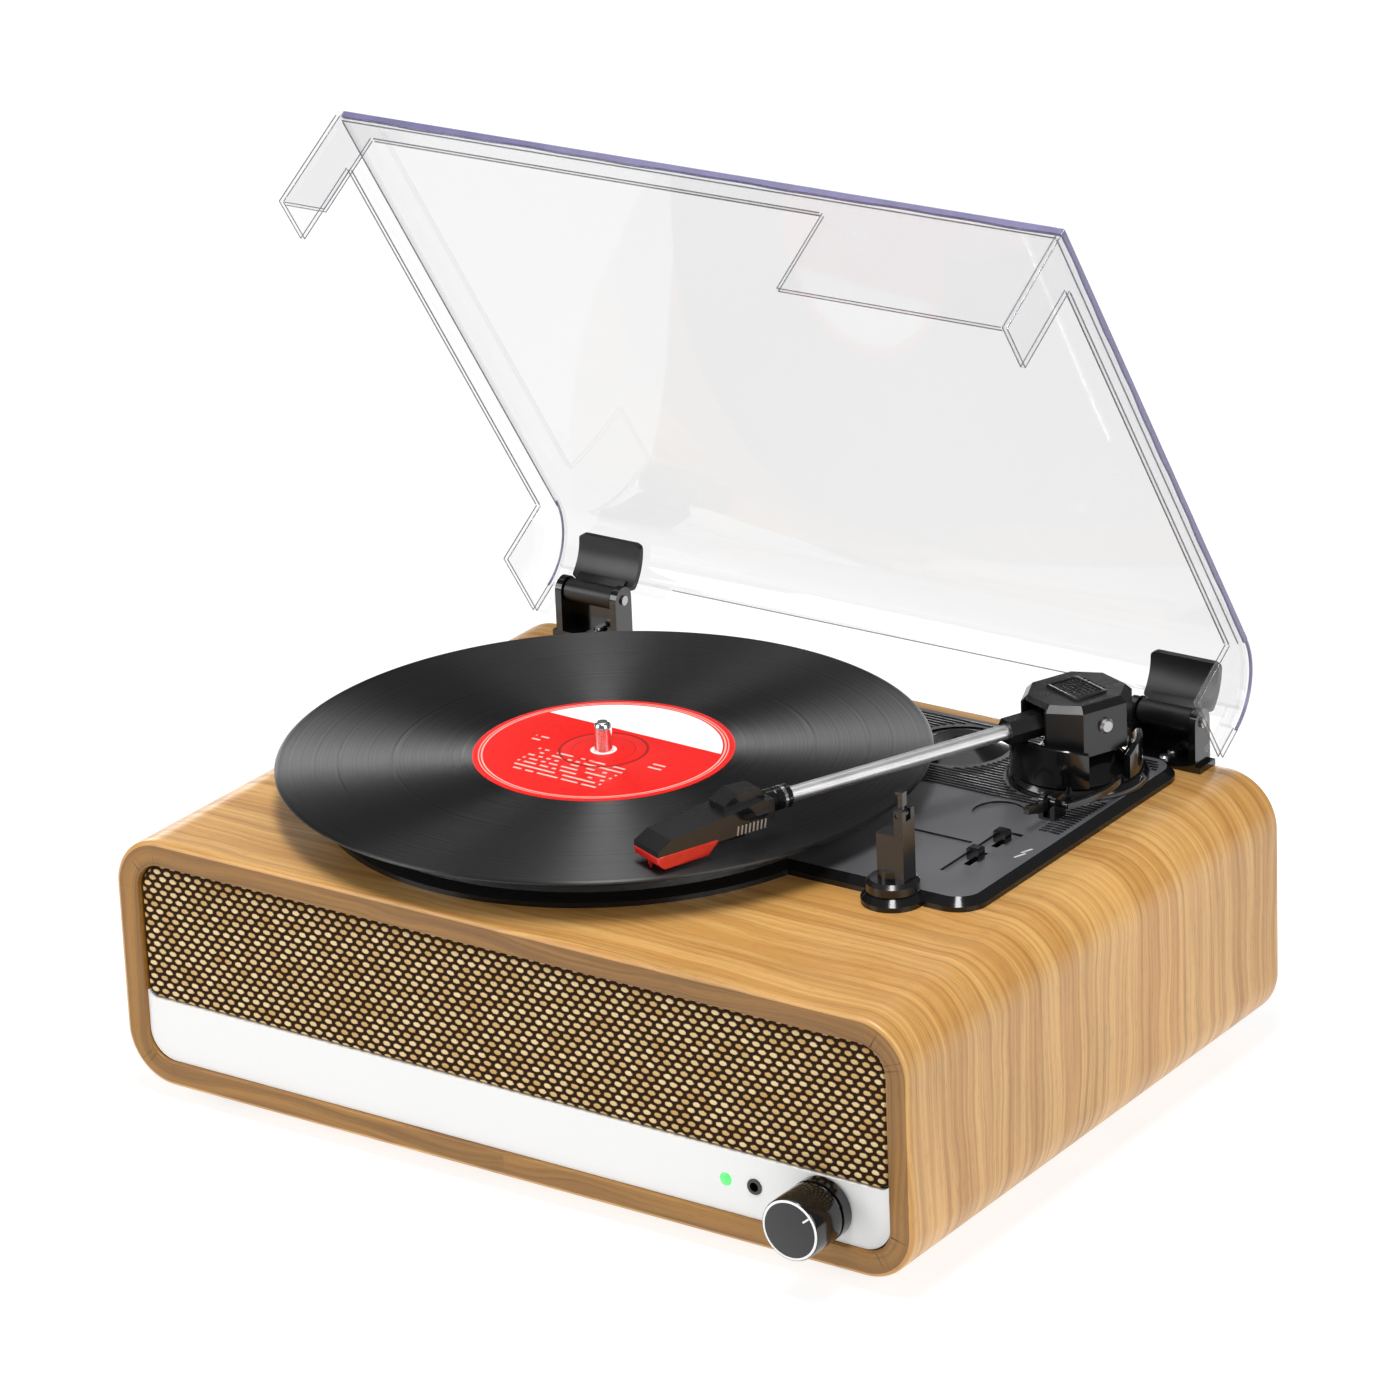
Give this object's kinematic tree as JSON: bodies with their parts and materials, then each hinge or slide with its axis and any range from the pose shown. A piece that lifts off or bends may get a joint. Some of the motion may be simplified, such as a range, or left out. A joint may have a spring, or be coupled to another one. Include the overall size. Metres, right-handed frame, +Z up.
{
  "type": "turntable record player",
  "caption": "Free-standing belt-drive record player: wood-veneered cabinet with cloth grille and built-in speakers, tonearm, and hinged clear dust cover.",
  "frame": {"origin": "middle of the whole player's footprint with its cover open and its knob counted, on the surface the feet stand on", "axes": "+X to the listener's right, +Y to the back, +Z up"},
  "size_m": [0.356, 0.293, 0.3566],
  "materials": {
    "veneer": "satin golden teak veneer",
    "board": "painted fibreboard, matte",
    "cloth": "woven speaker cloth on a board",
    "white_plastic": "satin off-white",
    "gloss_black": "polished moulding",
    "matte_black": "fine satin moulding",
    "clear": "clear polished acrylic",
    "chrome": "polished plating",
    "steel": "zinc plated",
    "rubber": "matte",
    "vinyl": "pressed vinyl",
    "paper_label": "printed paper",
    "aluminium": "cast and turned",
    "circuit_board": "green solder mask",
    "light_green": "translucent",
    "stylus_red": "moulded",
    "speaker_cone": "pressed paper pulp",
    "magnet": "coated ferrite with a plated cap"
  },
  "bodies": {
    "base": {"cabinet_shell": "veneer", "rubber_feet": "rubber", "foot_screws": "steel", "rear_cleats": "board", "front_baffle": "board", "grille_panel": "cloth", "control_strip": "white_plastic", "speaker_baskets": "matte_black", "speaker_cones": "speaker_cone", "speaker_magnets": "magnet", "small_screws": "steel", "control_board": "circuit_board", "volume_pot": "matte_black", "power_light": "light_green", "headphone_socket": "matte_black", "rear_panel": "board", "power_inlet": "matte_black", "line_sockets": "chrome", "amplifier_board": "circuit_board", "board_standoffs": "steel", "heat_sink": "aluminium", "board_capacitors": "matte_black", "deck_plate": "matte_black", "single_adapter": "aluminium", "platter_bearing": "aluminium", "motor": "steel", "drive_belt": "rubber", "tonearm_pedestal": "gloss_black", "cue_bracket": "matte_black", "arm_rest": "matte_black", "switch_bodies": "matte_black", "hinge_brackets": "gloss_black", "hinge_pins": "steel", "hinge_screws": "steel"},
    "platter": {"platter": "aluminium", "spindle": "chrome", "platter_mat": "rubber", "record": "vinyl", "record_label": "paper_label"},
    "pulley": {"motor_pulley": "aluminium"},
    "arm_pivot": {"pivot_shaft": "steel", "pivot_yoke": "steel", "pivot_housing": "gloss_black", "pivot_screws": "steel"},
    "arm": {"arm_rocker": "matte_black", "counterweight": "steel", "tonearm_tube": "chrome", "tonearm_collar": "gloss_black", "headshell": "matte_black", "cartridge": "matte_black", "stylus": "stylus_red"},
    "lift": {"lift_platform": "gloss_black"},
    "cue_lever": {"cue_lever": "gloss_black"},
    "rest_clip": {"rest_clip": "matte_black"},
    "speed_switch": {"speed_switch": "gloss_black"},
    "auto_stop_switch": {"auto_stop_switch": "gloss_black"},
    "volume": {"volume_knob": "gloss_black", "volume_shaft": "matte_black"},
    "cover": {"dust_cover": "clear", "hinge_leaves": "gloss_black"}
  },
  "joints": [
    {"name": "cover_hinge", "type": "hinge", "parent": "base", "child": "cover", "pos_m": [0, 0.1282, 0.127], "axis": [-1, 0, 0], "range_deg": [-57.5, 2.5]},
    {"name": "platter_spin", "type": "hinge", "parent": "base", "child": "platter", "pos_m": [-0.036, -0.0033, 0.11], "axis": [0, 0, 1], "continuous": true},
    {"name": "pulley_spin", "type": "hinge", "parent": "base", "child": "pulley", "pos_m": [-0.09398, 0.05468, 0.11], "axis": [0, 0, 1], "continuous": true},
    {"name": "arm_swing", "type": "hinge", "parent": "base", "child": "arm_pivot", "pos_m": [0.117, 0.0897, 0.13], "axis": [0, 0, 1], "range_deg": [-19, 20.8]},
    {"name": "arm_lift", "type": "hinge", "parent": "arm_pivot", "child": "arm", "pos_m": [0.117, 0.0897, 0.139], "axis": [-0.9245, 0.3811, 0], "range_deg": [0, 7]},
    {"name": "platform_lift", "type": "slide", "parent": "base", "child": "lift", "axis": [0, 0, 1], "range_m": [0, 0.0028]},
    {"name": "cue_lever_tilt", "type": "hinge", "parent": "base", "child": "cue_lever", "pos_m": [0.1295, 0.0507, 0.119], "axis": [1, 0, 0], "range_deg": [0, 8]},
    {"name": "rest_clip_turn", "type": "hinge", "parent": "base", "child": "rest_clip", "pos_m": [0.1186, -0.0338, 0.1435], "axis": [0, -1, 0], "range_deg": [0, 88]},
    {"name": "speed_slide", "type": "slide", "parent": "base", "child": "speed_switch", "axis": [0, 1, 0], "range_m": [-0.004, 0.004]},
    {"name": "auto_stop_slide", "type": "slide", "parent": "base", "child": "auto_stop_switch", "axis": [0, 1, 0], "range_m": [-0.004, 0.001]},
    {"name": "volume_turn", "type": "hinge", "parent": "base", "child": "volume", "pos_m": [0.14, -0.1253, 0.03], "axis": [0, 1, 0], "range_deg": [-210, 90]}
  ],
  "couplings": [
    {"joint": "pulley_spin", "follows": "platter_spin", "ratio": 15.556},
    {"joint": "platform_lift", "follows": "arm_lift", "m_per_rad": 0.0228},
    {"joint": "cue_lever_tilt", "follows": "arm_lift", "ratio": 1.14}
  ]
}
